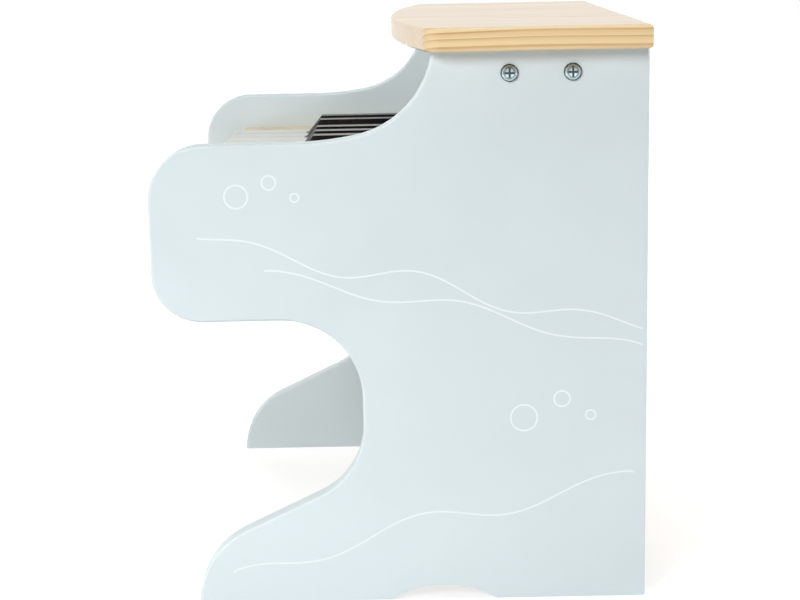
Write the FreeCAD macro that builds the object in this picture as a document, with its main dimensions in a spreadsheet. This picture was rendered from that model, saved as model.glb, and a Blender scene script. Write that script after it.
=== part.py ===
import FreeCAD, Part
import math
import os
import re

import Sketcher

# Upright toy piano with eighteen keys: X along the keyboard, treble at +X, the player at -Y, +Z up.
# The origin lies on the floor, in the middle of the case.

# Driving dimensions in millimetres. Depths count forward from the back of the case.
sizes = {
    "case_width": 300,
    "case_depth": 257,
    "panel_height": 292,
    "panel_thickness": 12,
    "panel_round": 1.5,
    "toe_setback": 18,
    "toe_radius": 44,
    "foot_slope": 11,
    "waist_depth": 149,
    "waist_length": 15.5,
    "nose_drop": 45.5,
    "nose_height": 92,
    "nose_low_radius": 25.5,
    "nose_high_radius": 28.5,
    "lead_radius": 165,
    "lead_length": 32,
    "sweep_radius": 50,
    "top_depth": 110,
    "arch_depth": 108,
    "arch_span": 57,
    "arch_rise": 8,
    "board_thickness": 12,
    "board_side_overhang": 12,
    "board_front_overhang": 21,
    "board_bow": 18,
    "board_corner_radius": 9,
    "board_round": 2,
    "dowel_radius": 3,
    "dowel_length": 20,
    "dowel_rise": 8,
    "dowel_inset": 22,
    "glue_clearance": 0.1,
    "front_board_setback": 6,
    "front_board_thickness": 9,
    "front_board_clearance": 4,
    "slat_round": 1.2,
    "back_panel_thickness": 6,
    "lower_board_setback": 14,
    "lower_board_thickness": 9,
    "bottom_board_height": 30,
    "bottom_board_thickness": 12,
    "back_screw_radius": 1.5,
    "back_screw_length": 18,
    "back_screw_head_radius": 3,
    "back_screw_head_height": 1.8,
    "back_screw_spacing": 105,
    "screw_clearance": 0.2,
    "keybed_rise": 21.5,
    "keybed_thickness": 12,
    "key_slip_thickness": 8,
    "key_slip_rise": 25,
    "key_slip_clearance": 3,
    "key_rest_height": 23,
    "key_thickness": 14,
    "key_setback": 20.5,
    "key_gap": 0.8,
    "key_side_clearance": 0.75,
    "key_round": 0.8,
    "key_pivot_depth": 98,
    "key_tail_depth": 38,
    "key_rod_radius": 2.5,
    "rod_clearance": 0.05,
    "rod_end_clearance": 0.3,
    "black_key_width": 9.5,
    "black_key_setback": 49.5,
    "black_key_rise": 11,
    "black_key_slope": 9,
    "black_key_round": 1,
    "black_front_gap": 1,
    "black_end_clearance": 4,
    "black_pair_offset": 1.2,
    "black_triple_offset": 1.6,
    "end_block_width": 13.5,
    "end_block_setback": 5.5,
    "end_block_tail": 10,
    "key_dip": 9,
    "front_rail_inset": 6,
    "rail_width": 14,
    "felt_thickness": 3,
    "rest_gap": 0.2,
    "pusher_inset": 3,
    "pusher_length": 4,
    "pusher_height": 7.6,
    "pusher_gap": 0.4,
    "hammer_pivot_depth": 20,
    "hammer_rod_radius": 2,
    "hammer_rod_seat": 6,
    "hammer_width": 8,
    "hammer_drop": 5,
    "hammer_butt_reach": 6,
    "hammer_arm_height": 9,
    "hammer_head_depth": 55,
    "hammer_head_length": 8,
    "hammer_throw": 7.3,
    "sound_board_drop": 11.5,
    "sound_board_thickness": 12,
    "sound_board_depth": 62,
    "sound_board_centre": 55,
    "tone_bar_length": 76,
    "tone_bar_width": 9,
    "tone_bar_thickness": 3,
    "washer_thickness": 2,
    "washer_radius": 3,
    "pin_radius": 1,
    "pin_seat": 8,
    "pin_head_radius": 2.5,
    "pin_head_height": 1.2,
    "pin_clearance": 0.3,
    "side_screw_spacing": 32,
    "side_screw_radius": 2,
    "side_screw_length": 34,
    "side_screw_head_radius": 4.5,
    "side_screw_head_height": 2.8,
    "side_screw_head_edge": 0.9,
    "side_screw_slot_length": 5,
    "side_screw_slot_width": 1.1,
    "side_screw_slot_sink": 1.6,
}

white_names = ["c1", "d1", "e1", "f1", "g1", "a1", "b1", "c2", "d2", "e2", "f2"]
white_count = len(white_names)
# Black keys by the white key on their left, with their shift from the line between the two white keys.
black_shifts = {
    0: "- black_pair_offset",
    1: "+ black_pair_offset",
    3: "- black_triple_offset",
    4: "",
    5: "+ black_triple_offset",
    7: "- black_pair_offset",
    8: "+ black_pair_offset",
}
semitones_per_octave = 12
tolerance = 1e-4
nodal_share = 0.224  # a free bar rests on points this share of its length from its ends

document = FreeCAD.newDocument("ToyPiano")
sheet = document.addObject("Spreadsheet::Sheet", "Sizes")
for row, (alias, length) in enumerate(sizes.items(), start=1):
    sheet.set(f"A{row}", alias)
    sheet.set(f"B{row}", str(length))
    sheet.setAlias(f"B{row}", alias)
document.recompute()

nodes = []


def expression(text):
    """Turn a formula of size names into one that reads the sheet."""
    return re.sub(r"[a-z_]+", lambda word: f"Sizes.{word[0]}" if word[0] in sizes else word[0], text)


def bind(item, **formulas):
    for name, text in formulas.items():
        item.setExpression(name.replace("base_", "Placement.Base."), expression(text))


def as_node(item, label):
    item.Label = label
    nodes.append(item)
    return item


def from_back(text):
    """Y of a point at the given depth from the back of the case."""
    return f"(case_depth / 2 - ({text}))"


# Places that several pieces share, as formulas of the sizes.
inner_width = "(case_width - 2 * panel_thickness)"
inner_half = "(case_width / 2 - panel_thickness)"
nose_top = "(panel_height - nose_drop)"
nose_underside = f"({nose_top} - nose_height)"
recess_radius = f"(({nose_underside} - waist_length - toe_radius - foot_slope) / 2)"
waist_low = f"({nose_underside} - {recess_radius} - waist_length)"
keybed_underside = f"({nose_underside} + keybed_rise)"
keybed_top = f"({keybed_underside} + keybed_thickness)"
key_pitch = f"(({inner_width} - 2 * (end_block_width + key_side_clearance)) / {white_count})"
key_underside = f"({keybed_top} + key_rest_height)"
key_top = f"({key_underside} + key_thickness)"
key_pivot_height = f"({key_underside} + key_thickness / 2)"
key_front_depth = "(case_depth - key_setback)"
black_front_depth = f"({key_front_depth} - black_key_setback)"
slip_back_depth = f"({key_front_depth} + key_slip_clearance)"
keybed_front_depth = f"({slip_back_depth} + key_slip_thickness)"
front_board_face = "(top_depth - front_board_setback)"
lower_board_face = "(waist_depth - lower_board_setback)"
hammer_underside = f"({key_top} + pusher_height + pusher_gap)"
hammer_pivot_height = f"({hammer_underside} + hammer_drop)"
sound_board_middle = "(panel_height - sound_board_drop)"
sound_board_underside = f"({sound_board_middle} - sound_board_thickness / 2)"
tone_bar_top = f"({sound_board_underside} - washer_thickness)"
tone_bar_underside = f"({tone_bar_top} - tone_bar_thickness)"
screw_depths = [f"sound_board_centre {sign} side_screw_spacing / 2" for sign in "-+"]
dowel_depths = ["dowel_inset", "top_depth - dowel_inset"]
back_screw_places = [f"{step} * back_screw_spacing" for step in (-1, 0, 1)]
back_screw_heights = [
    f"{keybed_underside} + keybed_thickness / 2",
    "bottom_board_height + bottom_board_thickness / 2",
]


def box(name, length, width, height, x, y, z):
    item = document.addObject("Part::Box", name)
    bind(item, Length=length, Width=width, Height=height, base_x=x, base_y=y, base_z=z)
    return item


def cylinder(name, axis, radius, height, x, y, z):
    item = document.addObject("Part::Cylinder", name)
    item.Placement.Rotation = FreeCAD.Rotation(FreeCAD.Vector(0, 0, 1), axis)
    bind(item, Radius=radius, Height=height, base_x=x, base_y=y, base_z=z)
    return item


along_x = FreeCAD.Vector(1, 0, 0)
along_y = FreeCAD.Vector(0, 1, 0)
along_z = FreeCAD.Vector(0, 0, 1)


def group(name, members):
    item = document.addObject("Part::Compound", name)
    item.Links = members
    return item


def cut(name, base, tools):
    item = document.addObject("Part::Cut", name)
    item.Base = base
    item.Tool = tools[0] if len(tools) == 1 else group(f"{name}_holes", tools)
    return item


def fuse(name, members):
    item = document.addObject("Part::MultiFuse", name)
    item.Shapes = members
    return item


def sketch_on(body, role, name, offset=None):
    plane = [item for item in body.Origin.OriginFeatures if item.Role == role][0]
    sketch = body.newObject("Sketcher::SketchObject", name)
    sketch.AttachmentSupport = [(plane, "")]
    sketch.MapMode = "FlatFace"
    if offset:
        sketch.setExpression("AttachmentOffset.Base.z", expression(offset))
    return sketch


def dimension(sketch, text, kind, *places):
    """Add a dimension as drawn to a sketch and bind it to a formula."""
    if kind == "Radius":
        start = sketch.Geometry[places[0]].Radius
    else:
        ends = [sketch.getPoint(*places[step:step + 2]) for step in range(0, len(places), 2)]
        span = ends[-1] - ends[0] if len(ends) == 2 else ends[0]
        start = span.x if kind == "DistanceX" else span.y
    index = sketch.addConstraint(Sketcher.Constraint(kind, *places, start))
    sketch.setExpression(f"Constraints[{index}]", expression(text))


def polygon(sketch, corners):
    """Draw a closed outline whose corners are pinned by a pair of formulas each."""
    count = len(corners)
    turns = [2 * math.pi * step / count for step in range(count)]
    points = [FreeCAD.Vector(math.cos(turn), math.sin(turn), 0) for turn in turns]
    for step in range(count):
        sketch.addGeometry(Part.LineSegment(points[step], points[(step + 1) % count]), False)
    for step in range(count):
        sketch.addConstraint(Sketcher.Constraint("Coincident", step, 2, (step + 1) % count, 1))
    for step, (across, up) in enumerate(corners):
        dimension(sketch, across, "DistanceX", step, 1)
        dimension(sketch, up, "DistanceY", step, 1)


def circle(sketch, across, up, radius):
    index = sketch.addGeometry(Part.Circle(FreeCAD.Vector(0, 0, 0), along_z, 1), False)
    dimension(sketch, radius, "Radius", index)
    dimension(sketch, across, "DistanceX", index, 3)
    dimension(sketch, up, "DistanceY", index, 3)


def pad(body, sketch, name, length, symmetric=False):
    item = body.newObject("PartDesign::Pad", name)
    item.Profile = sketch
    item.SideType = "Symmetric" if symmetric else "One side"
    bind(item, Length=length)
    document.recompute()
    return item


def pocket(body, sketch, name, length, symmetric=False, reverse=False):
    before = body.Shape.Volume
    item = body.newObject("PartDesign::Pocket", name)
    item.Profile = sketch
    item.SideType = "Symmetric" if symmetric else "One side"
    item.Reversed = reverse
    bind(item, Length=length)
    document.recompute()
    if not body.Shape.Volume < before:
        raise RuntimeError(f"{body.Label}: {name} cuts nothing")
    return item


def round_edges(body, name, radius, chosen):
    """Round the edges for which chosen(edge) holds."""
    base = body.Tip
    names = [f"Edge{step}" for step, edge in enumerate(base.Shape.Edges, start=1) if chosen(edge)]
    item = body.newObject("PartDesign::Fillet", name)
    item.Base = (base, names)
    bind(item, Radius=radius)
    document.recompute()
    return item


def new_body(label):
    body = document.addObject("PartDesign::Body", label)
    return as_node(body, label)


def panel_outline(sketch):
    """Side panel's outline in Y and Z: straight runs and arcs, each placed first and then constrained."""
    back = sizes["case_depth"] / 2
    toe = -back + sizes["toe_setback"]
    waist = back - sizes["waist_depth"]
    upper = sizes["panel_height"] - sizes["nose_drop"]
    under = upper - sizes["nose_height"]
    recess = (under - sizes["waist_length"] - sizes["toe_radius"] - sizes["foot_slope"]) / 2
    toe_centre = FreeCAD.Vector(toe + sizes["toe_radius"], 0, 0)
    high_centre = FreeCAD.Vector(waist - recess, under - recess, 0)
    low_centre = high_centre - FreeCAD.Vector(0, sizes["waist_length"], 0)
    # The foot's slope is the straight line that crosses from the toe's arc to the lower recess arc.
    between = low_centre - toe_centre
    lean = math.acos((sizes["toe_radius"] + recess) / between.Length)
    facing = math.atan2(between.y, between.x) + lean
    slope = FreeCAD.Vector(math.cos(facing), math.sin(facing), 0)
    toe_top = toe_centre + slope * sizes["toe_radius"]
    foot_top = low_centre - slope * recess
    # The sweep rises from the nose in a slack arc, then in a tight one that ends under the top board.
    rise = math.asin(sizes["lead_length"] / sizes["lead_radius"])
    join_height = upper + sizes["lead_radius"] * (1 - math.cos(rise))
    sweep_height = join_height + sizes["sweep_radius"] * math.cos(rise)
    top_front = FreeCAD.Vector(back - sizes["top_depth"], sizes["panel_height"], 0)
    reach = math.sqrt(sizes["sweep_radius"] ** 2 - (sweep_height - top_front.y) ** 2)
    sweep_centre = FreeCAD.Vector(top_front.x - reach, sweep_height, 0)
    join = sweep_centre + FreeCAD.Vector(math.sin(rise), -math.cos(rise), 0) * sizes["sweep_radius"]
    lead_start = FreeCAD.Vector(join.x - sizes["lead_length"], upper, 0)
    lead_centre = lead_start + FreeCAD.Vector(0, sizes["lead_radius"], 0)
    high_radius, low_radius = sizes["nose_high_radius"], sizes["nose_low_radius"]
    nose_high = FreeCAD.Vector(-back + high_radius, upper - high_radius, 0)
    nose_low = FreeCAD.Vector(-back + low_radius, under + low_radius, 0)
    arch_middle = back - sizes["arch_depth"]
    half_span = sizes["arch_span"] / 2
    arch_drop = (half_span ** 2 - sizes["arch_rise"] ** 2) / (2 * sizes["arch_rise"])
    arch_centre = FreeCAD.Vector(arch_middle, -arch_drop, 0)

    corners = {
        "toe": FreeCAD.Vector(toe, 0, 0),
        "arch_front": FreeCAD.Vector(arch_middle - half_span, 0, 0),
        "arch_back": FreeCAD.Vector(arch_middle + half_span, 0, 0),
        "heel": FreeCAD.Vector(back, 0, 0),
        "top_back": FreeCAD.Vector(back, sizes["panel_height"], 0),
        "top_front": top_front,
        "join": join,
        "lead_start": lead_start,
        "nose_top": nose_high + FreeCAD.Vector(0, high_radius, 0),
        "front_high": nose_high - FreeCAD.Vector(high_radius, 0, 0),
        "front_low": nose_low - FreeCAD.Vector(low_radius, 0, 0),
        "nose_under": nose_low - FreeCAD.Vector(0, low_radius, 0),
        "recess_high": high_centre + FreeCAD.Vector(0, recess, 0),
        "waist_high": high_centre + FreeCAD.Vector(recess, 0, 0),
        "waist_low": low_centre + FreeCAD.Vector(recess, 0, 0),
        "foot_top": foot_top,
        "toe_top": toe_top,
    }
    # Runs in order round the outline: centre of an arc or None, and whether the arc turns left.
    runs = [
        (None, False), (arch_centre, False), (None, False), (None, False), (None, False),
        (sweep_centre, False), (lead_centre, False), (None, False), (nose_high, True), (None, False),
        (nose_low, True), (None, False), (high_centre, False), (None, False), (low_centre, False),
        (None, False), (toe_centre, True),
    ]
    points = list(corners.values())
    order = {name: step for step, name in enumerate(corners)}
    first_end, last_end = [], []
    for step, (centre, left) in enumerate(runs):
        start, stop = points[step], points[(step + 1) % len(points)]
        if centre is None:
            sketch.addGeometry(Part.LineSegment(start, stop), False)
        else:
            begin, end = (start, stop) if left else (stop, start)
            angles = [math.atan2(point.y - centre.y, point.x - centre.x) for point in (begin, end)]
            round_run = Part.Circle(centre, along_z, (start - centre).Length)
            sketch.addGeometry(Part.ArcOfCircle(round_run, angles[0], angles[1]), False)
        first_end.append(1 if centre is None or left else 2)
        last_end.append(2 if centre is None or left else 1)
    sharp = {order[name] for name in ("toe", "arch_front", "arch_back", "heel", "top_back", "top_front")}
    for step in range(len(runs)):
        following = (step + 1) % len(runs)
        kind = "Coincident" if following in sharp else "Tangent"
        ends = (step, last_end[step], following, first_end[following])
        sketch.addConstraint(Sketcher.Constraint(kind, *ends))

    def start_of(name):
        return order[name], first_end[order[name]]

    for name in ("toe", "arch_front", "arch_back", "heel"):
        sketch.addConstraint(Sketcher.Constraint("PointOnObject", *start_of(name), -1))
    sketch.addConstraint(Sketcher.Constraint("PointOnObject", order["toe_top"], 3, -1))
    for name in ("heel", "front_high", "waist_high"):
        sketch.addConstraint(Sketcher.Constraint("Vertical", order[name]))
    for name in ("top_back", "lead_start", "nose_under"):
        sketch.addConstraint(Sketcher.Constraint("Horizontal", order[name]))
    dimension(sketch, "case_depth / 2", "DistanceX", *start_of("heel"))
    dimension(sketch, "toe_setback - case_depth / 2", "DistanceX", *start_of("toe"))
    dimension(sketch, "toe_radius", "Radius", order["toe_top"])
    dimension(sketch, from_back("arch_depth"), "DistanceX", order["arch_front"], 3)
    dimension(sketch, "arch_span", "DistanceX", *start_of("arch_front"), *start_of("arch_back"))
    arch_radius = "((arch_span / 2) ^ 2 + arch_rise ^ 2) / (2 * arch_rise)"
    dimension(sketch, arch_radius, "Radius", order["arch_front"])
    dimension(sketch, "panel_height", "DistanceY", *start_of("top_back"))
    dimension(sketch, from_back("top_depth"), "DistanceX", *start_of("top_front"))
    dimension(sketch, "sweep_radius", "Radius", order["top_front"])
    dimension(sketch, "lead_radius", "Radius", order["join"])
    dimension(sketch, "lead_length", "DistanceX", *start_of("lead_start"), *start_of("join"))
    dimension(sketch, nose_top, "DistanceY", *start_of("lead_start"))
    dimension(sketch, "nose_high_radius", "Radius", order["nose_top"])
    dimension(sketch, "-case_depth / 2", "DistanceX", *start_of("front_high"))
    dimension(sketch, "nose_low_radius", "Radius", order["front_low"])
    dimension(sketch, nose_underside, "DistanceY", *start_of("nose_under"))
    dimension(sketch, recess_radius, "Radius", order["recess_high"])
    dimension(sketch, recess_radius, "Radius", order["waist_low"])
    dimension(sketch, from_back("waist_depth"), "DistanceX", *start_of("waist_high"))
    dimension(sketch, waist_low, "DistanceY", *start_of("waist_low"))


def panel_rim(edge):
    """A rim of the panel's faces, apart from those on the floor, in the arch and under the top board."""
    bounds = edge.BoundBox
    flat = bounds.XLength < tolerance
    above_arch = bounds.ZMax > sizes["arch_rise"] + tolerance
    return flat and above_arch and bounds.ZMin < sizes["panel_height"] - tolerance


def side_panels():
    body = new_body("side_panel_right")
    bind(body, base_x=inner_half)
    outline = sketch_on(body, "YZ_Plane", "panel_outline")
    panel_outline(outline)
    pad(body, outline, "panel_board", "panel_thickness")
    round_edges(body, "panel_rims", "panel_round", panel_rim)
    screw_holes = sketch_on(body, "YZ_Plane", "screw_hole_places")
    for depth in screw_depths:
        circle(screw_holes, from_back(depth), sound_board_middle, "side_screw_radius + screw_clearance")
    pocket(body, screw_holes, "screw_holes", "panel_thickness", reverse=True)
    rod_seat = sketch_on(body, "YZ_Plane", "rod_seat_place")
    seat_radius = "hammer_rod_radius + rod_clearance"
    circle(rod_seat, from_back("hammer_pivot_depth"), hammer_pivot_height, seat_radius)
    pocket(body, rod_seat, "rod_seat", "hammer_rod_seat", reverse=True)
    dowel_holes = sketch_on(body, "XY_Plane", "dowel_hole_places", "panel_height")
    for depth in dowel_depths:
        circle(dowel_holes, "panel_thickness / 2", from_back(depth), "dowel_radius + glue_clearance")
    pocket(body, dowel_holes, "dowel_holes", "dowel_length - dowel_rise + glue_clearance")
    mirrored(body, "side_panel_left")


def mirrored(source, label):
    item = document.addObject("Part::Mirroring", label)
    item.Source = source
    item.Normal = along_x
    return as_node(item, label)


def board_outline(sketch):
    """Top board's outline in X and Y: three straight sides and a front edge that swells out in one arc."""
    half = sizes["case_width"] / 2 + sizes["board_side_overhang"]
    rear = sizes["case_depth"] / 2
    bow = sizes["board_bow"]
    front = rear - sizes["top_depth"] - sizes["board_front_overhang"]
    radius = (half ** 2 + bow ** 2) / (2 * bow)
    swing = math.asin(half / radius)
    downward = -math.pi / 2
    places = [(half, front + bow), (half, rear), (-half, rear), (-half, front + bow)]
    corners = [FreeCAD.Vector(across, along, 0) for across, along in places]
    for start, stop in zip(corners, corners[1:]):
        sketch.addGeometry(Part.LineSegment(start, stop), False)
    swell = Part.Circle(FreeCAD.Vector(0, front + radius, 0), along_z, radius)
    arc = sketch.addGeometry(Part.ArcOfCircle(swell, downward - swing, downward + swing), False)
    for step in range(len(corners)):
        following = (step + 1) % len(corners)
        sketch.addConstraint(Sketcher.Constraint("Coincident", step, 2, following, 1))

    side = "(case_width / 2 + board_side_overhang)"
    side_front = from_back("top_depth + board_front_overhang - board_bow")
    back = "case_depth / 2"
    for step, (across, along) in enumerate([(side, side_front), (side, back),
                                            (f"-{side}", back), (f"-{side}", side_front)]):
        dimension(sketch, across, "DistanceX", step, 1)
        dimension(sketch, along, "DistanceY", step, 1)
    dimension(sketch, f"({side} ^ 2 + board_bow ^ 2) / (2 * board_bow)", "Radius", arc)


def top_board():
    body = new_body("top_board")
    bind(body, base_z="panel_height")
    outline = sketch_on(body, "XY_Plane", "board_outline")
    board_outline(outline)
    pad(body, outline, "board", "board_thickness")
    middle = body.Shape.BoundBox.Center.y

    def front_corner(edge):
        bounds = edge.BoundBox
        return bounds.ZLength > bounds.XLength and bounds.YMax < middle

    round_edges(body, "front_corners", "board_corner_radius", front_corner)
    round_edges(body, "rims", "board_round", lambda edge: edge.BoundBox.ZLength < tolerance)
    holes = sketch_on(body, "XY_Plane", "dowel_hole_places")
    for depth in dowel_depths:
        for sign in ("-", ""):
            across = f"{sign}(case_width / 2 - panel_thickness / 2)"
            circle(holes, across, from_back(depth), "dowel_radius + glue_clearance")
    pocket(body, holes, "dowel_holes", "dowel_rise + glue_clearance", reverse=True)


def top_board_dowels():
    dowels = []
    for depth in dowel_depths:
        for sign in ("-", ""):
            across = f"{sign}(case_width / 2 - panel_thickness / 2)"
            dowels.append(cylinder("dowel", along_z, "dowel_radius", "dowel_length", across,
                                   from_back(depth), "panel_height - (dowel_length - dowel_rise)"))
    as_node(group("top_board_dowels", dowels), "top_board_dowels")


def slat(label, near_depth, far_depth, low, high):
    """Upright board that reaches from panel to panel."""
    body = new_body(label)
    outline = sketch_on(body, "YZ_Plane", "slat_outline")
    near, far = from_back(near_depth), from_back(far_depth)
    polygon(outline, [(near, low), (far, low), (far, high), (near, high)])
    pad(body, outline, "slat_board", inner_width, symmetric=True)
    return body


def case_boards():
    front_back = f"{front_board_face} - front_board_thickness"
    front_low = f"{key_top} + front_board_clearance"
    front_board = slat("front_board", front_board_face, front_back, front_low, "panel_height")
    limits = front_board.Shape.BoundBox

    def lower_front_rim(edge):
        bounds = edge.BoundBox
        return bounds.YMax < limits.YMin + tolerance and bounds.ZMax < limits.ZMin + tolerance

    round_edges(front_board, "lower_front_rim", "slat_round", lower_front_rim)

    lower_back = f"{lower_board_face} - lower_board_thickness"
    slat("lower_front_board", lower_board_face, lower_back, "bottom_board_height", keybed_underside)

    slip = slat("key_slip", keybed_front_depth, slip_back_depth, keybed_top, f"{keybed_top} + key_slip_rise")
    slip_top = slip.Shape.BoundBox.ZMax

    def upper_rim(edge):
        bounds = edge.BoundBox
        return bounds.ZMin > slip_top - tolerance and bounds.XLength > bounds.YLength

    round_edges(slip, "upper_rims", "slat_round", upper_rim)

    across, behind = f"-{inner_half}", "case_depth / 2 - back_panel_thickness"
    hole_depth = "(back_screw_length - back_panel_thickness + back_screw_head_height + 2 * screw_clearance)"
    hole_radius = "back_screw_radius + screw_clearance"
    boards = {
        "keybed": (keybed_front_depth, keybed_underside, "keybed_thickness"),
        "bottom_board": (lower_back, "bottom_board_height", "bottom_board_thickness"),
    }
    for (label, (front, low, thick)), height in zip(boards.items(), back_screw_heights):
        board = box(f"{label}_blank", inner_width, f"{front} - back_panel_thickness", thick, across,
                    from_back(front), low)
        holes = []
        for place in back_screw_places:
            holes.append(cylinder("hole", along_y, hole_radius, hole_depth, place,
                                  f"{behind} - {hole_depth}", height))
        as_node(cut(label, board, holes), label)

    panel = box("back_panel_blank", inner_width, "back_panel_thickness", "panel_height - bottom_board_height",
                across, behind, "bottom_board_height")
    holes, screws = [], []
    sink = "back_screw_head_height + screw_clearance"
    for height in back_screw_heights:
        for place in back_screw_places:
            holes.append(cylinder("hole", along_y, hole_radius, "back_panel_thickness", place, behind,
                                  height))
            head_y = f"case_depth / 2 - ({sink})"
            holes.append(cylinder("sink", along_y, "back_screw_head_radius + screw_clearance", sink, place,
                                  head_y, height))
            head = cylinder("head", along_y, "back_screw_head_radius", "back_screw_head_height", place,
                            head_y, height)
            shank = cylinder("shank", along_y, "back_screw_radius", "back_screw_length", place,
                             f"{head_y} - back_screw_length", height)
            screws.append(fuse("back_screw", [head, shank]))
    as_node(cut("back_panel", panel, holes), "back_panel")
    as_node(group("back_panel_screws", screws), "back_panel_screws")


def key_rails():
    between_blocks = f"({inner_width} - 2 * end_block_width)"
    front_depth = f"{key_front_depth} - front_rail_inset"
    front_top = f"({key_underside} - key_dip - felt_thickness)"
    back_depth = "key_tail_depth + rail_width + pusher_inset"
    back_top = f"({key_underside} - rest_gap - felt_thickness)"
    for label, length, front, top in (("front_rail", between_blocks, front_depth, front_top),
                                      ("back_rail", inner_width, back_depth, back_top)):
        place = (f"-{length} / 2", from_back(front))
        as_node(box(label, length, "rail_width", f"{top} - {keybed_top}", *place, keybed_top), label)
        felt = f"{label}_felt"
        as_node(box(felt, length, "rail_width", "felt_thickness", *place, top), felt)

    back_end = "(key_pivot_depth - end_block_tail)"
    inner_side = f"{inner_half} - end_block_width"
    block_front = f"({key_front_depth} - end_block_setback)"
    block = box("end_block_blank", "end_block_width", f"{block_front} - {back_end}",
                f"{key_top} - {keybed_top}", inner_side, from_back(block_front), keybed_top)
    rod_hole = cylinder("rod_hole", along_x, "key_rod_radius + rod_clearance", "end_block_width",
                        inner_side, from_back("key_pivot_depth"), key_pivot_height)
    right_block = as_node(cut("end_block_right", block, [rod_hole]), "end_block_right")
    mirrored(right_block, "end_block_left")

    key_rod = cylinder("key_pivot_rod", along_x, "key_rod_radius", f"{inner_width} - 2 * rod_end_clearance",
                       f"-{inner_half} + rod_end_clearance", from_back("key_pivot_depth"), key_pivot_height)
    as_node(key_rod, "key_pivot_rod")
    seat = "(hammer_rod_seat - rod_end_clearance)"
    hammer_rod = cylinder("hammer_pivot_rod", along_x, "hammer_rod_radius", f"{inner_width} + 2 * {seat}",
                          f"-{inner_half} - {seat}", from_back("hammer_pivot_depth"), hammer_pivot_height)
    as_node(hammer_rod, "hammer_pivot_rod")


def white_centre(place):
    return f"({place} + 0.5 - {white_count} / 2) * {key_pitch}"


def black_centre(place):
    return f"(({place} + 1 - {white_count} / 2) * {key_pitch} {black_shifts[place]})"


def neck_edges(place):
    """X of the two sides of a white key's narrow part, from the middle of its head."""
    half = f"({key_pitch} / 2 - key_gap / 2)"
    clear = "(black_key_width / 2 + key_gap)"
    left, right = f"-{half}", half
    if place - 1 in black_shifts:
        left = f"({black_centre(place - 1)} + {clear} - {white_centre(place)})"
    if place in black_shifts:
        right = f"({black_centre(place)} - {clear} - {white_centre(place)})"
    return left, right


def rod_bore(body, width):
    bore = sketch_on(body, "YZ_Plane", "bore_place")
    circle(bore, from_back("key_pivot_depth"), "key_thickness / 2", "key_rod_radius + rod_clearance")
    pocket(body, bore, "bore", f"2 * {width}", symmetric=True)


def pusher(body, left, right):
    """Raised pad on a key's tail that lifts the hammer."""
    front = from_back("key_tail_depth + pusher_inset + pusher_length")
    rear = from_back("key_tail_depth + pusher_inset")
    place = sketch_on(body, "XY_Plane", "pusher_place")
    polygon(place, [(left, front), (right, front), (right, rear), (left, rear)])
    pad(body, place, "pusher", "key_thickness + pusher_height")


def white_key(place):
    body = new_body(f"white_key_{white_names[place]}")
    bind(body, base_x=white_centre(place), base_z=key_underside)
    half = f"({key_pitch} / 2 - key_gap / 2)"
    left, right = neck_edges(place)
    front, tail = from_back(key_front_depth), from_back("key_tail_depth")
    notch = from_back(f"{black_front_depth} + black_front_gap")
    corners = [(f"-{half}", front), (half, front)]
    if place in black_shifts:
        corners += [(half, notch), (right, notch)]
    corners += [(right, tail), (left, tail)]
    if place - 1 in black_shifts:
        corners += [(left, notch), (f"-{half}", notch)]
    outline = sketch_on(body, "XY_Plane", "key_outline")
    polygon(outline, corners)
    pad(body, outline, "lever", "key_thickness")
    head_front = body.Shape.BoundBox.YMin
    head_back = head_front + sizes["black_key_setback"] - sizes["black_front_gap"]
    top = body.Shape.BoundBox.ZMax

    def head_rim(edge):
        bounds = edge.BoundBox
        upper = bounds.ZMin > top - tolerance and bounds.YMin < head_back - tolerance
        upright = bounds.YMax < head_front + tolerance and bounds.ZLength > bounds.XLength
        return upper or upright

    round_edges(body, "head_rims", "key_round", head_rim)
    pusher(body, left, right)
    rod_bore(body, key_pitch)
    return f"({white_centre(place)} + ({left} + {right}) / 2)"


def black_key(place):
    body = new_body(f"black_key_{white_names[place]}_sharp")
    bind(body, base_x=black_centre(place), base_z=key_underside)
    half = "(black_key_width / 2)"
    front, tail = from_back(black_front_depth), from_back("key_tail_depth")
    outline = sketch_on(body, "XY_Plane", "key_outline")
    polygon(outline, [(f"-{half}", front), (half, front), (half, tail), (f"-{half}", tail)])
    pad(body, outline, "lever", "key_thickness")
    rise = "key_thickness + black_key_rise"
    rear = from_back(f"{front_board_face} + black_end_clearance")
    sharp = sketch_on(body, "YZ_Plane", "sharp_outline")
    shoulder = "key_thickness"
    polygon(sharp, [(front, shoulder), (rear, shoulder), (rear, rise), (f"{front} + black_key_slope", rise)])
    pad(body, sharp, "sharp", "black_key_width", symmetric=True)
    top = body.Shape.BoundBox.ZMax
    tip = body.Shape.BoundBox.YMin

    def sharp_rim(edge):
        bounds = edge.BoundBox
        upper = bounds.ZMin > top - tolerance
        rising = bounds.ZLength > max(bounds.XLength, bounds.YLength)
        return upper or rising and bounds.YMin < tip + tolerance

    round_edges(body, "sharp_rims", "black_key_round", sharp_rim)
    pusher(body, f"-{half}", half)
    rod_bore(body, "black_key_width")
    return black_centre(place)


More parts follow.
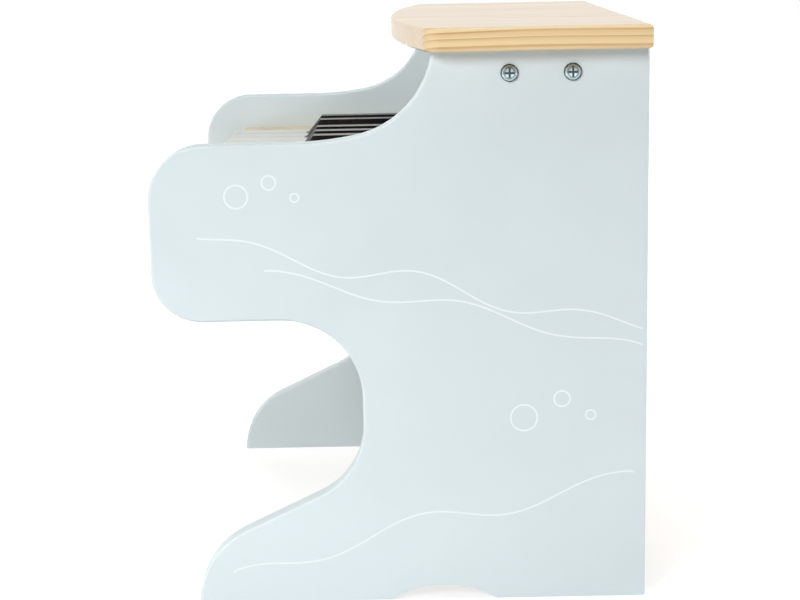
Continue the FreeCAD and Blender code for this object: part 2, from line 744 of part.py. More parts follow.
def hammer(label, centre):
    body = new_body(label)
    bind(body, base_x=centre)
    low = hammer_underside
    high = f"{hammer_underside} + hammer_arm_height"
    rear = from_back("hammer_pivot_depth - hammer_butt_reach")
    head_rear = from_back("hammer_head_depth - hammer_head_length / 2")
    head_front = from_back("hammer_head_depth + hammer_head_length / 2")
    head_top = f"{tone_bar_underside} - hammer_throw"
    outline = sketch_on(body, "YZ_Plane", "hammer_outline")
    corners = [(head_front, low), (rear, low), (rear, high), (head_rear, high)]
    polygon(outline, corners + [(head_rear, head_top), (head_front, head_top)])
    pad(body, outline, "lever", "hammer_width", symmetric=True)
    bore = sketch_on(body, "YZ_Plane", "bore_place")
    circle(bore, from_back("hammer_pivot_depth"), hammer_pivot_height, "hammer_rod_radius + rod_clearance")
    pocket(body, bore, "bore", "2 * hammer_width", symmetric=True)


def tone_bars(centres):
    """Steel bars under the sound board, each shorter than the last by half a semitone's ratio."""
    bars, washers, pins, seats = [], [], [], []
    for note, centre in enumerate(centres):
        length = f"(tone_bar_length / 2 ^ ({note} / {2 * semitones_per_octave}))"
        blank = box("bar_blank", "tone_bar_width", length, "tone_bar_thickness",
                    f"{centre} - tone_bar_width / 2", from_back(f"sound_board_centre + {length} / 2"),
                    tone_bar_underside)
        holes = []
        for sign in "-+":
            y = from_back(f"sound_board_centre {sign} (0.5 - {nodal_share}) * {length}")
            loose = "pin_radius + pin_clearance"
            holes.append(cylinder("bar_hole", along_z, loose, "tone_bar_thickness", centre, y,
                                  tone_bar_underside))
            ring = cylinder("washer_blank", along_z, "washer_radius", "washer_thickness", centre, y,
                            tone_bar_top)
            eye = cylinder("washer_eye", along_z, loose, "washer_thickness", centre, y, tone_bar_top)
            washers.append(cut("washer", ring, [eye]))
            head = cylinder("pin_head", along_z, "pin_head_radius", "pin_head_height", centre, y,
                            f"{tone_bar_underside} - pin_head_height")
            stem = cylinder("pin_stem", along_z, "pin_radius",
                            "tone_bar_thickness + washer_thickness + pin_seat", centre, y, tone_bar_underside)
            pins.append(fuse("pin", [head, stem]))
            seats.append(cylinder("pin_hole", along_z, "pin_radius + glue_clearance",
                                  "pin_seat + glue_clearance", centre, y, sound_board_underside))
        bars.append(cut("tone_bar", blank, holes))
    as_node(group("tone_bars", bars), "tone_bars")
    as_node(group("tone_bar_washers", washers), "tone_bar_washers")
    as_node(group("tone_bar_pins", pins), "tone_bar_pins")
    return seats


def sound_board(pin_holes):
    front = from_back("sound_board_centre + sound_board_depth / 2")
    blank = box("sound_board_blank", inner_width, "sound_board_depth", "sound_board_thickness",
                f"-{inner_half}", front, sound_board_underside)
    reach = "(side_screw_length - panel_thickness + screw_clearance)"
    holes = list(pin_holes)
    for depth in screw_depths:
        for start in (f"-{inner_half}", f"{inner_half} - {reach}"):
            holes.append(cylinder("screw_hole", along_x, "side_screw_radius + screw_clearance", reach, start,
                                  from_back(depth), sound_board_middle))
    as_node(cut("sound_board", blank, holes), "sound_board")


def side_screws():
    """Pan-head screws with a cross slot, two through each panel into the ends of the sound board."""
    screws = []
    dome = "((side_screw_head_radius ^ 2 + (side_screw_head_height - side_screw_head_edge) ^ 2)"
    dome += " / (2 * (side_screw_head_height - side_screw_head_edge)))"
    for depth in screw_depths:
        y, z = from_back(depth), sound_board_middle
        face = "case_width / 2"
        ball = document.addObject("Part::Sphere", "head_dome")
        bind(ball, Radius=dome, base_x=f"{face} + side_screw_head_height - {dome}", base_y=y, base_z=z)
        rim = cylinder("head_rim", along_x, "side_screw_head_radius", "side_screw_head_height", face, y, z)
        head = document.addObject("Part::Common", "head_blank")
        head.Base = rim
        head.Tool = ball
        slots = []
        for width, height in (("side_screw_slot_length", "side_screw_slot_width"),
                              ("side_screw_slot_width", "side_screw_slot_length")):
            slots.append(box("slot", "side_screw_slot_sink", width, height,
                             f"{face} + side_screw_head_height - side_screw_slot_sink", f"{y} - {width} / 2",
                             f"{z} - {height} / 2"))
        cross = fuse("cross_slot", slots)
        shank = cylinder("shank", along_x, "side_screw_radius", "side_screw_length",
                         f"{face} - side_screw_length", y, z)
        right = fuse("side_screw", [cut("head", head, [cross]), shank])
        left = document.addObject("Part::Mirroring", "side_screw_mirror")
        left.Source = right
        left.Normal = along_x
        screws += [right, left]
    as_node(group("side_screws", screws), "side_screws")


side_panels()
top_board()
top_board_dowels()
case_boards()
key_rails()

hammer_centres = []
for place, name in enumerate(white_names):
    hammer_centres.append((f"hammer_{name}", white_key(place)))
    if place in black_shifts:
        hammer_centres.append((f"hammer_{name}_sharp", black_key(place)))
for label, centre in hammer_centres:
    hammer(label, centre)

sound_board(tone_bars([centre for label, centre in hammer_centres]))
side_screws()

document.recompute()
for item in document.Objects:
    if "Invalid" in item.State or "Error" in item.State:
        raise RuntimeError(f"{item.Label} failed: {item.State}")
for item in nodes:
    if item.Shape.isNull() or not item.Shape.isValid():
        raise RuntimeError(f"{item.Label} has no valid solid")

os.makedirs("parts", exist_ok=True)
for item in nodes:
    item.Shape.exportStep(f"parts/{item.Label}.step")
print(f"{len(nodes)} pieces written")
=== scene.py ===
import math

import bpy
import numpy as np
from mathutils import Matrix


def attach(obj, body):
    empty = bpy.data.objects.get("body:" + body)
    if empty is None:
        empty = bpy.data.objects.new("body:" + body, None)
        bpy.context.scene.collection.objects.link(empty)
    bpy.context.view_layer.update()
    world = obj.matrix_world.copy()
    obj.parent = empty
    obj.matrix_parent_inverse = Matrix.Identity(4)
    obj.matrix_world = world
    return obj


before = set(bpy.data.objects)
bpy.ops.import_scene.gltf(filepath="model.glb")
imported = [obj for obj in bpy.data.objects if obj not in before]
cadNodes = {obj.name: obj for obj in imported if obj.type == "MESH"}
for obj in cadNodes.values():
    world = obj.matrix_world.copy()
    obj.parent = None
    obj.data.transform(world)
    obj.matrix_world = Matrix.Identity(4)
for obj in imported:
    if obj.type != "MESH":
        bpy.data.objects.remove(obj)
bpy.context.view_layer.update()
print("case loaded:", len(cadNodes), "pieces")


def paintTone(red, green, blue):  # a colour as a paint card gives it, 0 to 255, made linear
    share = np.array([red, green, blue]) / 255.0
    linear = np.where(share <= 0.04045, share / 12.92, ((share + 0.055) / 1.055) ** 2.4)
    return (*[float(part) for part in linear], 1.0)


def greyTone(level):
    return (level, level, level, 1.0)


class Finish:  # one material, with short ways to add and join its nodes
    def __init__(self, name):
        self.material = bpy.data.materials.new(name)
        self.material.use_nodes = True
        self.tree = self.material.node_tree
        self.tree.nodes.clear()
        self.shader = self.add("ShaderNodeBsdfPrincipled")
        self.add("ShaderNodeOutputMaterial", {"Surface": self.shader.outputs["BSDF"]})
        coordinates = self.add("ShaderNodeTexCoord")
        self.place = coordinates.outputs["Object"]
        self.facing = coordinates.outputs["Normal"]  # the piece's own normal, in its own axes

    def feed(self, socket, value):  # value is another node's output, or a plain number or colour
        if isinstance(value, bpy.types.NodeSocket):
            self.tree.links.new(value, socket)
        else:
            socket.default_value = value

    def add(self, kind, values=None, **options):
        node = self.tree.nodes.new(kind)
        for key, option in options.items():
            setattr(node, key, option)
        for key, value in (values or {}).items():
            self.feed(node.inputs[key], value)
        return node

    def set(self, name, value):
        self.feed(self.shader.inputs[name], value)

    def mapped(self, scale):
        return self.add("ShaderNodeMapping", {"Vector": self.place, "Scale": scale}).outputs["Vector"]

    def axes(self, vector):
        return self.add("ShaderNodeSeparateXYZ", {"Vector": vector}).outputs

    def noise(self, vector, scale=1.0, detail=3.0, roughness=0.5):
        values = {"Vector": vector, "Scale": scale, "Detail": detail, "Roughness": roughness}
        return self.add("ShaderNodeTexNoise", values).outputs["Fac"]

    def ramp(self, factor, spots, tones):
        node = self.add("ShaderNodeValToRGB", {"Fac": factor})
        band = node.color_ramp
        while len(band.elements) < len(spots):
            band.elements.new(0.5)
        for element, spot, tone in zip(band.elements, spots, tones):
            element.position = spot
            element.color = tone
        return node.outputs["Color"]

    def between(self, factor, look):  # the deep tone below the look's blend, the pale one above it
        return self.ramp(factor, look["blend"], (look["deep"], look["pale"]))

    def mask(self, factor, spots, low, high):
        return self.ramp(factor, spots, (greyTone(low), greyTone(high)))

    def span(self, factor, low, high, start=0.0, end=1.0):  # stretches start..end onto low..high
        values = {"Value": factor, "From Min": start, "From Max": end, "To Min": low, "To Max": high}
        return self.add("ShaderNodeMapRange", values).outputs["Result"]

    def blendTones(self, factor, first, second, way="MIX"):
        values = {0: factor, 6: first, 7: second}  # the sockets that the node uses for colours
        return self.add("ShaderNodeMix", values, data_type="RGBA", blend_type=way).outputs[2]

    def reckon(self, way, first, second=0.0):
        return self.add("ShaderNodeMath", {0: first, 1: second}, operation=way).outputs[0]

    def squareSum(self, first, second):
        squares = [self.reckon("MULTIPLY", value, value) for value in (first, second)]
        return self.reckon("ADD", *squares)

    def relief(self, height, strength, depth):
        values = {"Height": height, "Strength": strength, "Distance": depth}
        self.set("Normal", self.add("ShaderNodeBump", values).outputs["Normal"])

    def surface(self, tone, grain, look):  # colour, with roughness and relief from the finest grain
        self.set("Base Color", tone)
        self.set("Roughness", self.span(grain, *look["rough"]))
        self.relief(grain, *look["relief"])


# in every look, blend is where in its noise deep turns into pale, rough the least and most roughness,
# relief the strength and the depth in metres; cloud, grit and the like, and each step, are waves to the metre
paintLook = {
    "pale": paintTone(217, 228, 231),
    "deep": paintTone(211, 222, 225),
    "blend": (0.35, 0.65),
    "cloud": 9.0,
    "grit": 900.0,
    "rough": (0.4, 0.52),
    "relief": (0.12, 0.00006),
}


def bluePaint():  # sprayed satin paint: slow clouds of tone, a fine grit in gloss and relief
    finish = Finish("bluePaint")
    clouds = finish.noise(finish.place, paintLook["cloud"])
    grit = finish.noise(finish.place, paintLook["grit"], detail=2.0)
    finish.surface(finish.between(clouds, paintLook), grit, paintLook)
    return finish.material


pineLook = {
    "spring": paintTone(243, 220, 176),
    "middle": paintTone(233, 203, 152),
    "summer": paintTone(191, 145, 88),
    "year": (0.0, 0.45, 0.78, 0.88, 1.0),  # when spring, middle, summer, summer's end and spring come
    "ring": 0.0036,          # one year's growth
    "uneven": 0.6,           # by how much of a year the rings come early or late
    "season": 0.6,           # how fast that changes from ring to ring
    "stripApart": 9.0,       # years from one glued strip's seasons to the next one's
    "wander": 0.009,         # how far the rings stray along the board
    "strayStep": (3.0, 12.0),    # along the grain and across it, as in the other two steps
    "faint": (0.45, 0.7),    # where in its noise a faint patch begins and is faintest
    "faintMost": 0.6,
    "faintStep": (5.0, 40.0),
    "fibre": paintTone(208, 167, 111),
    "fibreShare": (-0.1, 0.3),
    "fibreStep": (9.0, 900.0),
    "end": paintTone(218, 187, 142),   # end grain: partly its own darker tone where it drinks the varnish, partly painted shade
    "endVarnishAndShade": 0.7,          # how far the rings fade into the end tone, with its painted shade, on the ends
    "faceReflectionWash": 0.4,         # how far they fade on the faces, as painted reflection
    "face": (0.95, 0.965, 1.05, 1.0),  # painted reflection: a cooler tint on a board's faces and ends beside its sides, which are richer
    "gloss": 0.65,           # weight of the clear varnish
    "matt": 0.16,            # its roughness
    "rough": (0.36, 0.5),
    "relief": (0.12, 0.00008),
}
pineBoards = {  # grain, width of a glued strip, height of the pith
    "topPine": ("Y", 0.058, 0.255),
    "railPine": ("X", 0.35, -0.03),
    "blockPine": ("Y", 0.35, 0.1),
}


def pine(name, grain, strip, pith):
    # growth rings: distance from a line along the grain, at height pith and somewhere within each glued strip
    # of the board, strayed by slow noise; how far through a year a point lies runs from pale spring to a dark
    # summer line, which is faint in some places; ends fade to a darker tone, partly painted shade, faces to
    # painted reflection
    finish = Finish(name)
    across = {"X": "Y", "Y": "X"}[grain]

    def drawnOut(step):  # places for a noise that is drawn out along the grain
        along, athwart = pineLook[step]
        return finish.mapped([along if axis == grain else athwart for axis in "XYZ"])

    spot = finish.axes(finish.place)
    count = finish.reckon("FLOOR", finish.reckon("DIVIDE", spot[across], strip))
    lot = finish.add("ShaderNodeTexWhiteNoise", {"W": count}, noise_dimensions="1D").outputs["Value"]
    middle = finish.reckon("MULTIPLY", finish.reckon("ADD", count, lot), strip)
    wander, uneven = pineLook["wander"], pineLook["uneven"]
    stray = finish.span(finish.noise(drawnOut("strayStep"), detail=2.0), -wander, wander)
    sideways = finish.reckon("ADD", finish.reckon("SUBTRACT", spot[across], middle), stray)
    upward = finish.reckon("ADD", finish.reckon("SUBTRACT", spot["Z"], pith), stray)
    reach = finish.reckon("SQRT", finish.squareSum(sideways, upward))
    years = finish.reckon("DIVIDE", reach, pineLook["ring"])
    run = finish.reckon("ADD", years, finish.reckon("MULTIPLY", count, pineLook["stripApart"]))
    seasons = finish.add("ShaderNodeTexNoise", {"W": run, "Scale": pineLook["season"]}, noise_dimensions="1D")
    late = finish.span(seasons.outputs["Fac"], -uneven, uneven)
    share = finish.reckon("FRACT", finish.reckon("ADD", years, late))
    yearTones = [pineLook[part] for part in ("spring", "middle", "summer", "summer", "spring")]
    tone = finish.ramp(share, pineLook["year"], yearTones)
    faint = finish.mask(finish.noise(drawnOut("faintStep")), pineLook["faint"], 0.0, pineLook["faintMost"])
    tone = finish.blendTones(faint, tone, pineLook["middle"])
    fibres = finish.noise(drawnOut("fibreStep"), detail=4.0, roughness=0.6)
    tone = finish.blendTones(finish.span(fibres, *pineLook["fibreShare"]), tone, pineLook["fibre"])
    # by the normal: ends take a darker tone that is partly painted shade
    turned = finish.axes(finish.facing)
    for axis, calm, goal in ((grain, "endVarnishAndShade", "end"), ("Z", "faceReflectionWash", "middle")):
        calmed = finish.reckon("MULTIPLY", finish.reckon("ABSOLUTE", turned[axis]), pineLook[calm])
        tone = finish.blendTones(calmed, tone, pineLook[goal])
    # painted reflection: faces and ends take a cooler tint than the sides
    sideOn = finish.reckon("ABSOLUTE", turned[across])
    paintedReflectionTint = finish.blendTones(1.0, tone, pineLook["face"], "MULTIPLY")
    finish.surface(finish.blendTones(sideOn, paintedReflectionTint, tone), fibres, pineLook)
    finish.set("Coat Weight", pineLook["gloss"])
    finish.set("Coat Roughness", pineLook["matt"])
    return finish.material


beechLook = {
    "pale": paintTone(222, 188, 148),
    "deep": paintTone(198, 156, 114),
    "blend": (0.35, 0.65),
    "fibreStep": (500.0, 30.0, 500.0),
    "fleck": paintTone(168, 120, 82),
    "fleckFrom": (0.66, 0.74),   # where in its noise a fleck begins and is darkest
    "fleckMost": 0.5,
    "fleckStep": (1500.0, 260.0, 900.0),
    "rough": (0.5, 0.65),
    "relief": (0.2, 0.0001),
}


def beech():  # close grain along the hammer, with short darker flecks
    finish = Finish("beech")
    fibres = finish.noise(finish.mapped(beechLook["fibreStep"]))
    flecks = finish.noise(finish.mapped(beechLook["fleckStep"]), detail=1.0)
    marks = finish.mask(flecks, beechLook["fleckFrom"], 0.0, beechLook["fleckMost"])
    tone = finish.blendTones(marks, finish.between(fibres, beechLook), beechLook["fleck"])
    finish.surface(tone, fibres, beechLook)
    return finish.material


plyLook = {
    "pale": paintTone(229, 203, 160),
    "deep": paintTone(218, 188, 143),
    "blend": (0.1, 0.8),
    "figure": {"Scale": 9.0, "Distortion": 9.0, "Detail": 3.0, "Detail Scale": 0.6},
    "figureStep": (1.0, 1.0, 0.22),
    "fibre": paintTone(190, 150, 104),
    "fibreShare": (-0.1, 0.3),
    "fibreStep": (600.0, 600.0, 12.0),
    "rough": (0.55, 0.7),
    "relief": (0.2, 0.0001),
}


def plywood():  # rotary-cut face: broad wavy figure upright, with fine darker fibres
    finish = Finish("plywood")
    bands = {"wave_type": "BANDS", "bands_direction": "X", "wave_profile": "SIN"}
    values = {"Vector": finish.mapped(plyLook["figureStep"]), **plyLook["figure"]}
    figure = finish.add("ShaderNodeTexWave", values, **bands).outputs["Fac"]
    fibres = finish.noise(finish.mapped(plyLook["fibreStep"]))
    share = finish.span(fibres, *plyLook["fibreShare"])
    tone = finish.blendTones(share, finish.between(figure, plyLook), plyLook["fibre"])
    finish.surface(tone, fibres, plyLook)
    return finish.material


whiteKeyLook = {
    "pale": paintTone(252, 251, 246),
    "deep": paintTone(249, 247, 241),
    "blend": (0.35, 0.65),
    "cloud": 40.0,
    "grit": 1500.0,
    "side": paintTone(218, 216, 209),   # painted shade, towards the gaps between the keys
    "pitch": 0.0225,
    "firstGap": 0.01125,     # nearest gap to the middle of the keyboard
    "edge": (0.06, 0.16),    # from a gap, in shares of half a pitch: where the painted shade fades and ends
    "gloss": 0.2,
    "rough": (0.14, 0.22),
    "relief": (0.06, 0.00004),
}


def whiteKeyPlastic():
    # moulded warm white: faint flow clouds, soft gloss, and painted shade close to the gaps between the keys;
    # distance from the nearest gap is X from the first gap, folded back and forth over half a pitch
    finish = Finish("whiteKeyPlastic")
    clouds = finish.noise(finish.place, whiteKeyLook["cloud"])
    grit = finish.noise(finish.place, whiteKeyLook["grit"], detail=1.0)
    half = whiteKeyLook["pitch"] / 2
    fromGap = finish.reckon("SUBTRACT", finish.axes(finish.place)["X"], whiteKeyLook["firstGap"])
    share = finish.reckon("DIVIDE", finish.reckon("PINGPONG", fromGap, half), half)
    # painted shade, strongest at the gaps
    edge = finish.mask(share, whiteKeyLook["edge"], 1.0, 0.0)
    tone = finish.blendTones(edge, finish.between(clouds, whiteKeyLook), whiteKeyLook["side"])
    finish.surface(tone, grit, whiteKeyLook)
    finish.set("Coat Weight", whiteKeyLook["gloss"])
    return finish.material


blackKeyLook = {
    "pale": paintTone(33, 28, 26),
    "deep": paintTone(20, 17, 16),
    "blend": (0.35, 0.65),
    "cloud": 60.0,
    "grit": 1300.0,
    "mirror": 0.4,           # strength of its reflections
    "rough": (0.2, 0.3),
    "relief": (0.05, 0.00004),
}


def blackKeyPlastic():  # moulded black: faint flow clouds, high gloss with a fine grit
    finish = Finish("blackKeyPlastic")
    clouds = finish.noise(finish.place, blackKeyLook["cloud"])
    grit = finish.noise(finish.place, blackKeyLook["grit"], detail=1.0)
    finish.surface(finish.between(clouds, blackKeyLook), grit, blackKeyLook)
    finish.set("Specular IOR Level", blackKeyLook["mirror"])
    return finish.material


feltLook = {
    "pale": paintTone(150, 52, 56),
    "deep": paintTone(104, 28, 34),
    "blend": (0.3, 0.7),
    "hair": 1800.0,
    "cloud": 120.0,
    "cloudShare": (0.0, 0.35),
    "rough": 0.95,
    "relief": (0.8, 0.0004),
}


def felt():  # pressed wool: crossed hairs as noise of two scales
    finish = Finish("felt")
    hairs = finish.noise(finish.place, feltLook["hair"], detail=5.0, roughness=0.7)
    clouds = finish.span(finish.noise(finish.place, feltLook["cloud"]), *feltLook["cloudShare"])
    finish.set("Base Color", finish.blendTones(clouds, finish.between(hairs, feltLook), feltLook["deep"]))
    finish.set("Roughness", feltLook["rough"])
    finish.relief(hairs, *feltLook["relief"])
    return finish.material


steelLook = {
    "pale": paintTone(204, 206, 208),
    "deep": paintTone(168, 171, 174),
    "blend": (0.3, 0.7),
    "lineStep": (2600.0, 40.0, 2600.0),
    "rough": (0.24, 0.42),
    "relief": (0.15, 0.00005),
}


def brushedSteel():  # drawn bar: fine lines along Y
    finish = Finish("brushedSteel")
    lines = finish.noise(finish.mapped(steelLook["lineStep"]), detail=2.0)
    finish.surface(finish.between(lines, steelLook), lines, steelLook)
    finish.set("Metallic", 1.0)
    return finish.material


zincLook = {
    "pale": paintTone(214, 222, 224),
    "deep": paintTone(168, 180, 186),
    "blend": (0.3, 0.7),
    "crystal": 700.0,
    "rough": (0.16, 0.34),
    "relief": (0.1, 0.00005),
}


def zincPlate():  # bright zinc: small cloudy crystals
    finish = Finish("zincPlate")
    crystals = finish.noise(finish.place, zincLook["crystal"], detail=2.0)
    finish.surface(finish.between(crystals, zincLook), crystals, zincLook)
    finish.set("Metallic", 1.0)
    return finish.material


screwLook = {
    "middle": (0.0735, 0.2805),  # halfway between the two heads, along Y and up
    "apart": 0.032,
    "radius": 0.0045,
    "crown": 0.1528,             # distance of the top of the heads from the middle of the case
    "dome": 0.00628,             # radius of the domed top
    # painted reflection rings of the domed head, with painted shade at the rim and in the recess
    "bright": paintTone(196, 209, 211),
    "dull": paintTone(112, 129, 133),
    "rimShade": paintTone(60, 72, 79),
    "bands": (0.35, 0.62, 0.8, 0.93),  # shares of the radius where the painted reflection's bright, dull and bright rings and the painted rim shade lie
    "recess": paintTone(78, 90, 94),
    "cross": (0.0001, 0.0006),   # how deep under the dome the painted shade in the recess begins and is darkest
    "crystal": 900.0,
    "crystalJitter": 0.12,                # how far the crystals break up the bands
    "rough": (0.2, 0.36),
    "relief": (0.1, 0.00005),
}


def screwZinc():
    # zinc with painted reflection in rings from the crown, painted shade at the rim and in the cross:
    # distance from the axis of the nearer of the two heads, found by folding Y about the line halfway between
    # them; sunk is how far a point lies under the dome
    finish = Finish("screwZinc")
    spot = finish.axes(finish.place)
    middleY, middleZ = screwLook["middle"]
    folded = finish.reckon("ABSOLUTE", finish.reckon("SUBTRACT", spot["Y"], middleY))
    sideways = finish.reckon("SUBTRACT", folded, screwLook["apart"] / 2)
    upward = finish.reckon("SUBTRACT", spot["Z"], middleZ)
    square = finish.squareSum(sideways, upward)
    share = finish.reckon("DIVIDE", finish.reckon("SQRT", square), screwLook["radius"])
    lower = finish.reckon("SUBTRACT", screwLook["crown"], finish.reckon("ABSOLUTE", spot["X"]))
    sunk = finish.reckon("SUBTRACT", lower, finish.reckon("DIVIDE", square, 2 * screwLook["dome"]))
    crystals = finish.noise(finish.place, screwLook["crystal"], detail=2.0)
    crystalJitter = finish.reckon("ADD", share, finish.span(crystals, -screwLook["crystalJitter"], screwLook["crystalJitter"]))
    paintedReflectionTones = [screwLook[part] for part in ("bright", "dull", "bright", "rimShade")]
    bands = finish.ramp(crystalJitter, screwLook["bands"], paintedReflectionTones)
    cross = finish.span(sunk, 0.0, 1.0, *screwLook["cross"])
    finish.surface(finish.blendTones(cross, bands, screwLook["recess"]), crystals, screwLook)
    finish.set("Metallic", 1.0)
    return finish.material


inkLook = {
    "pale": paintTone(236, 244, 245),
    "deep": paintTone(229, 238, 240),
    "blend": (0.3, 0.7),
    "mesh": 1600.0,
    "rough": (0.45, 0.6),
    "relief": (0.1, 0.00003),
}


def whiteInk():  # screen print: nearly even white, a trace of mesh
    finish = Finish("whiteInk")
    mesh = finish.noise(finish.place, inkLook["mesh"], detail=2.0)
    finish.surface(finish.between(mesh, inkLook), mesh, inkLook)
    return finish.material


finishes = {
    "paint": bluePaint(),
    **{name: pine(name, *board) for name, board in pineBoards.items()},
    "beech": beech(),
    "plywood": plywood(),
    "whiteKey": whiteKeyPlastic(),
    "blackKey": blackKeyPlastic(),
    "felt": felt(),
    "steel": brushedSteel(),
    "zinc": zincPlate(),
    "screwZinc": screwZinc(),
    "ink": whiteInk(),
}
print("finishes made:", len(finishes))

wearing = {  # which finish each piece wears, by the longest start of its name that is here
    "side_panel_": "paint", "front_board": "paint", "lower_front_board": "paint",
    "top_board": "topPine", "top_board_dowels": "beech",
    "key_slip": "railPine", "keybed": "railPine", "bottom_board": "railPine", "sound_board": "railPine",
    "front_rail": "railPine", "front_rail_felt": "felt",
    "back_rail": "railPine", "back_rail_felt": "felt",
    "end_block_": "blockPine",
    "back_panel": "plywood", "back_panel_screws": "zinc", "side_screws": "screwZinc",
    "key_pivot_rod": "steel", "hammer_pivot_rod": "steel",
    "tone_bars": "steel", "tone_bar_pins": "steel", "tone_bar_washers": "felt",
    "white_key_": "whiteKey", "black_key_": "blackKey", "hammer_": "beech",
}


def dressNode(name, node):
    start = max((part for part in wearing if name.startswith(part)), key=len)
    node.data.materials.clear()
    node.data.materials.append(finishes[wearing[start]])


for nodeName, node in cadNodes.items():
    dressNode(nodeName, node)
print("pieces dressed:", len(cadNodes))


printLook = {
    "face": 0.15,            # distance of the panel's outer face from the middle
    "lineWidth": 0.0009,
    "lineHeight": 0.00007,
    "sink": 0.00003,         # how far the ink goes into the paint, so that no gap shows
    "waves": [               # start and end along Y, height at the start, rise, swell, turns, phase
        (-0.104, 0.126, 0.199, -0.052, 0.0060, 2.5, 0.0),
        (-0.070, 0.126, 0.181, -0.043, 0.0045, 2.0, 1.2),
        (-0.092, 0.122, 0.017, 0.052, 0.0065, 2.0, 2.0),
    ],
    "waveSteps": 240,
    "waveFade": 0.5,         # less makes the swell come in sooner at the ends
    "rings": [               # along Y, height, radius
        (-0.083, 0.220, 0.0060), (-0.066, 0.227, 0.0036), (-0.053, 0.219, 0.0022),
        (0.064, 0.100, 0.0070), (0.084, 0.110, 0.0042), (0.099, 0.101, 0.0026),
    ],
    "ringSteps": 64,
}


def ribbonAlong(path, closed):
    # a flat bar carried along the path: at each point two edges half a width to either side of the path's
    # own direction, once under the paint and once above it; rows of four corners joined by quads
    step = np.roll(path, -1, 0) - np.roll(path, 1, 0) if closed else np.gradient(path, axis=0)
    step /= np.linalg.norm(step, axis=1)[:, None]
    side = np.stack([-step[:, 1], step[:, 0]], 1) * printLook["lineWidth"] / 2
    low = np.full(len(path), printLook["face"] - printLook["sink"])
    high = low + printLook["sink"] + printLook["lineHeight"]
    edges = [(low, path - side), (low, path + side), (high, path + side), (high, path - side)]
    corners = np.stack([np.column_stack([depth, place]) for depth, place in edges], 1).reshape(-1, 3)
    rows = np.arange(len(path) if closed else len(path) - 1)[:, None] * 4
    turn = np.arange(4)[None, :]
    after = (turn + 1) % 4
    ahead = (rows + 4) % (4 * len(path))
    faces = np.stack([rows + turn, ahead + turn, ahead + after, rows + after], 2).reshape(-1, 4)
    if not closed:
        last = 4 * (len(path) - 1)
        faces = np.vstack([faces, [[0, 1, 2, 3]], [[last + 3, last + 2, last + 1, last]]])
    return corners, faces


def printOn(name, sign):
    # waves: a sine on a straight rise that fades in and out at its ends; rings: circles
    corners, faces, count = [], [], 0
    share = np.linspace(0.0, 1.0, printLook["waveSteps"])
    paths = []
    for start, end, height, rise, swell, turns, phase in printLook["waves"]:
        ease = np.sin(math.pi * share) ** printLook["waveFade"]
        bend = swell * ease * np.sin(2 * math.pi * turns * share + phase)
        paths.append((np.column_stack([start + (end - start) * share, height + rise * share + bend]), False))
    turn = np.linspace(0.0, 2 * math.pi, printLook["ringSteps"], endpoint=False)
    for across, height, radius in printLook["rings"]:
        circle = np.column_stack([across + radius * np.cos(turn), height + radius * np.sin(turn)])
        paths.append((circle, True))
    for path, closed in paths:
        places, quads = ribbonAlong(path, closed)
        corners.append(places)
        faces.append(quads + count)
        count += len(places)
    corners, faces = np.vstack(corners), np.vstack(faces)
    if sign < 0:
        corners = corners * [-1.0, 1.0, 1.0]
        faces = faces[:, ::-1]
    mesh = bpy.data.meshes.new(name)
    mesh.from_pydata(corners.tolist(), [], faces.tolist())
    mesh.update()
    mesh.materials.append(finishes["ink"])
    piece = bpy.data.objects.new(name, mesh)
    bpy.context.scene.collection.objects.link(piece)
    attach(piece, "case")
    return piece


prints = [printOn("printRight", 1), printOn("printLeft", -1)]
print("prints laid:", len(prints))


stageLook = {
    "floorSize": 12.0,
    "pale": paintTone(181, 181, 181),
    "deep": paintTone(178, 178, 178),
    "blend": (0.3, 0.7),
    "cloud": 30.0,
    "rough": 0.9,
    "glow": (0.68, 0.86),    # near the middle, and where the lamps no longer reach
    "reach": (0.5, 2.5),     # distances from the middle at which these hold
}


def whenSeen(tree):  # 1 for rays that look at the backdrop: straight, mirrored or through glass
    rays = tree.nodes.new("ShaderNodeLightPath")
    total = rays.outputs["Is Camera Ray"]
    for name in ("Is Glossy Ray", "Is Transmission Ray"):
        either = tree.nodes.new("ShaderNodeMath")
        either.operation = "MAXIMUM"
        tree.links.new(total, either.inputs[0])
        tree.links.new(rays.outputs[name], either.inputs[1])
        total = either.outputs[0]
    return total


def paleFloor():  # one matt square, with a little glow where it is looked at so that it meets the backdrop
    half = stageLook["floorSize"] / 2
    corners = [(-half, -half, 0), (half, -half, 0), (half, half, 0), (-half, half, 0)]
    mesh = bpy.data.meshes.new("floor")
    mesh.from_pydata(corners, [], [(0, 1, 2, 3)])
    finish = Finish("floorPaper")
    clouds = finish.noise(finish.place, stageLook["cloud"])
    finish.set("Base Color", finish.between(clouds, stageLook))
    finish.set("Roughness", stageLook["rough"])
    away = finish.add("ShaderNodeVectorMath", {0: finish.place}, operation="LENGTH").outputs["Value"]
    level = finish.span(away, *stageLook["glow"], *stageLook["reach"])
    finish.set("Emission Color", greyTone(1.0))
    finish.set("Emission Strength", finish.reckon("MULTIPLY", whenSeen(finish.tree), level))
    mesh.materials.append(finish.material)
    floor = bpy.data.objects.new("floor", mesh)
    bpy.context.scene.collection.objects.link(floor)


worldLook = {"fill": 0.12, "backdrop": 1.0}


def whiteWorld():
    world = bpy.data.worlds.new("studio")
    world.use_nodes = True
    tree = world.node_tree
    back = tree.nodes["Background"]
    back.inputs["Color"].default_value = greyTone(1.0)
    level = tree.nodes.new("ShaderNodeMapRange")
    level.inputs["To Min"].default_value = worldLook["fill"]
    level.inputs["To Max"].default_value = worldLook["backdrop"]
    tree.links.new(whenSeen(tree), level.inputs["Value"])
    tree.links.new(level.outputs["Result"], back.inputs["Strength"])
    bpy.context.scene.world = world


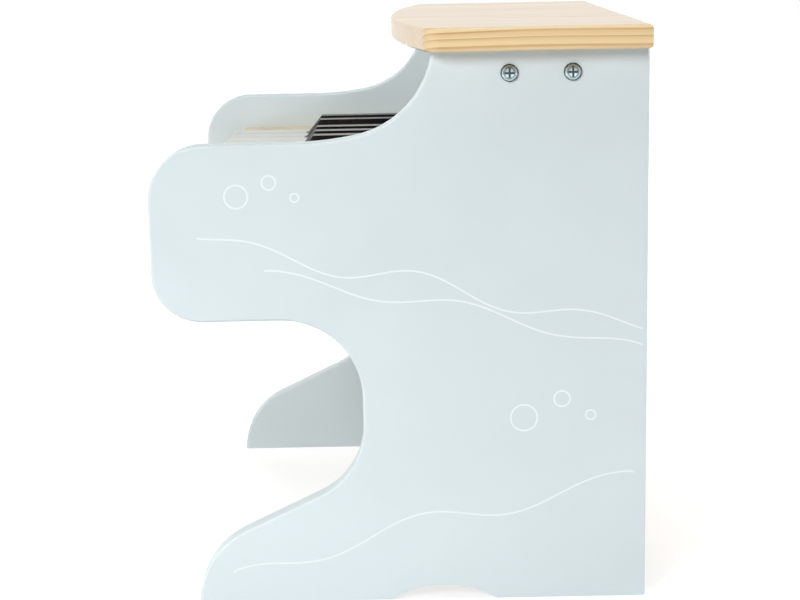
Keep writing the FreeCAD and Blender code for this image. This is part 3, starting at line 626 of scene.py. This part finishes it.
lampLook = {  # place, point looked at, width, height, power
    "leftSoftbox": ((1.53, -0.86, 1.0), (0.1, 0.0, 0.2), 0.65, 0.65, 23.3),
    "lowCard": ((0.42, -0.05, 0.03), (0.15, -0.03, 0.06), 1.0, 0.05, 0.36),
    "frontCard": ((0.35, -0.8, 0.05), (-0.1, 0.0, 0.06), 0.5, 0.06, 0.95),
    "rightSoftbox": ((0.1, 1.9, 0.5), (0.0, 0.0, 0.2), 0.7, 0.7, 22.0),
    "farSoftbox": ((-1.8, -0.4, 0.55), (0.0, 0.0, 0.2), 0.7, 0.7, 20.0),
}
matteLamps = ("leftSoftbox", "frontCard", "rightSoftbox", "farSoftbox")  # they leave no glints on the varnish
ceilingLook = {"spread": 40.0, "strength": 0.88}


def placedAt(columns, place):  # a matrix from its three axes and its place
    rows = [(*row, spot) for row, spot in zip(np.column_stack(columns), place)]
    return Matrix(rows + [(0, 0, 0, 1)])


def turnedTo(place, target):  # a matrix whose -Z looks from place to target
    view = (target - place) / np.linalg.norm(target - place)
    right = np.cross(view, [0.0, 0.0, 1.0])
    right /= np.linalg.norm(right)
    upward = np.cross(right, view)
    return placedAt([right, upward, -view], place)


def softboxes():
    for name, (place, target, width, height, power) in lampLook.items():
        lamp = bpy.data.lights.new(name, "AREA")
        lamp.shape = "RECTANGLE"
        lamp.size, lamp.size_y = width, height
        lamp.energy = power
        lampObject = bpy.data.objects.new(name, lamp)
        lampObject.matrix_world = turnedTo(np.array(place), np.array(target))
        lampObject.visible_glossy = name not in matteLamps
        lampObject.visible_camera = False
        bpy.context.scene.collection.objects.link(lampObject)
    ceiling = bpy.data.lights.new("ceiling", "SUN")  # light from straight above, even over the whole floor
    ceiling.angle = math.radians(ceilingLook["spread"])
    ceiling.energy = ceilingLook["strength"]
    bpy.context.scene.collection.objects.link(bpy.data.objects.new("ceiling", ceiling))


cameraLook = {
    "place": (1.0266, 0.0034, 0.3481),
    "yaw": 0.218,
    "pitch": 11.828,
    "roll": -1.158,
    "lens": 77.77,
    "sensor": 36.0,
    "clip": (0.01, 50.0),
}


def cosSin(part):
    angle = math.radians(cameraLook[part])
    return math.cos(angle), math.sin(angle)


def sideCamera():
    # the base view looks along -X with +Y to the right; yaw, pitch and roll then turn about down, right
    # and forward
    base = np.array([[0, 1, 0], [0, 0, -1], [-1, 0, 0]], float)
    (yawCos, yawSin), (pitchCos, pitchSin), (rollCos, rollSin) = map(cosSin, ("yaw", "pitch", "roll"))
    aboutDown = np.array([[yawCos, 0, yawSin], [0, 1, 0], [-yawSin, 0, yawCos]])
    aboutRight = np.array([[1, 0, 0], [0, pitchCos, -pitchSin], [0, pitchSin, pitchCos]])
    aboutView = np.array([[rollCos, -rollSin, 0], [rollSin, rollCos, 0], [0, 0, 1]])
    right, down, forward = aboutView @ aboutRight @ aboutDown @ base
    data = bpy.data.cameras.new("sideCamera")
    data.lens = cameraLook["lens"]
    data.sensor_width = cameraLook["sensor"]
    data.clip_start, data.clip_end = cameraLook["clip"]
    camera = bpy.data.objects.new("sideCamera", data)
    camera.matrix_world = placedAt([right, -down, -forward], cameraLook["place"])
    bpy.context.scene.collection.objects.link(camera)
    bpy.context.scene.camera = camera


paleFloor()
whiteWorld()
softboxes()
sideCamera()
bpy.context.scene.view_settings.view_transform = "Standard"
print("stage, light and camera set")
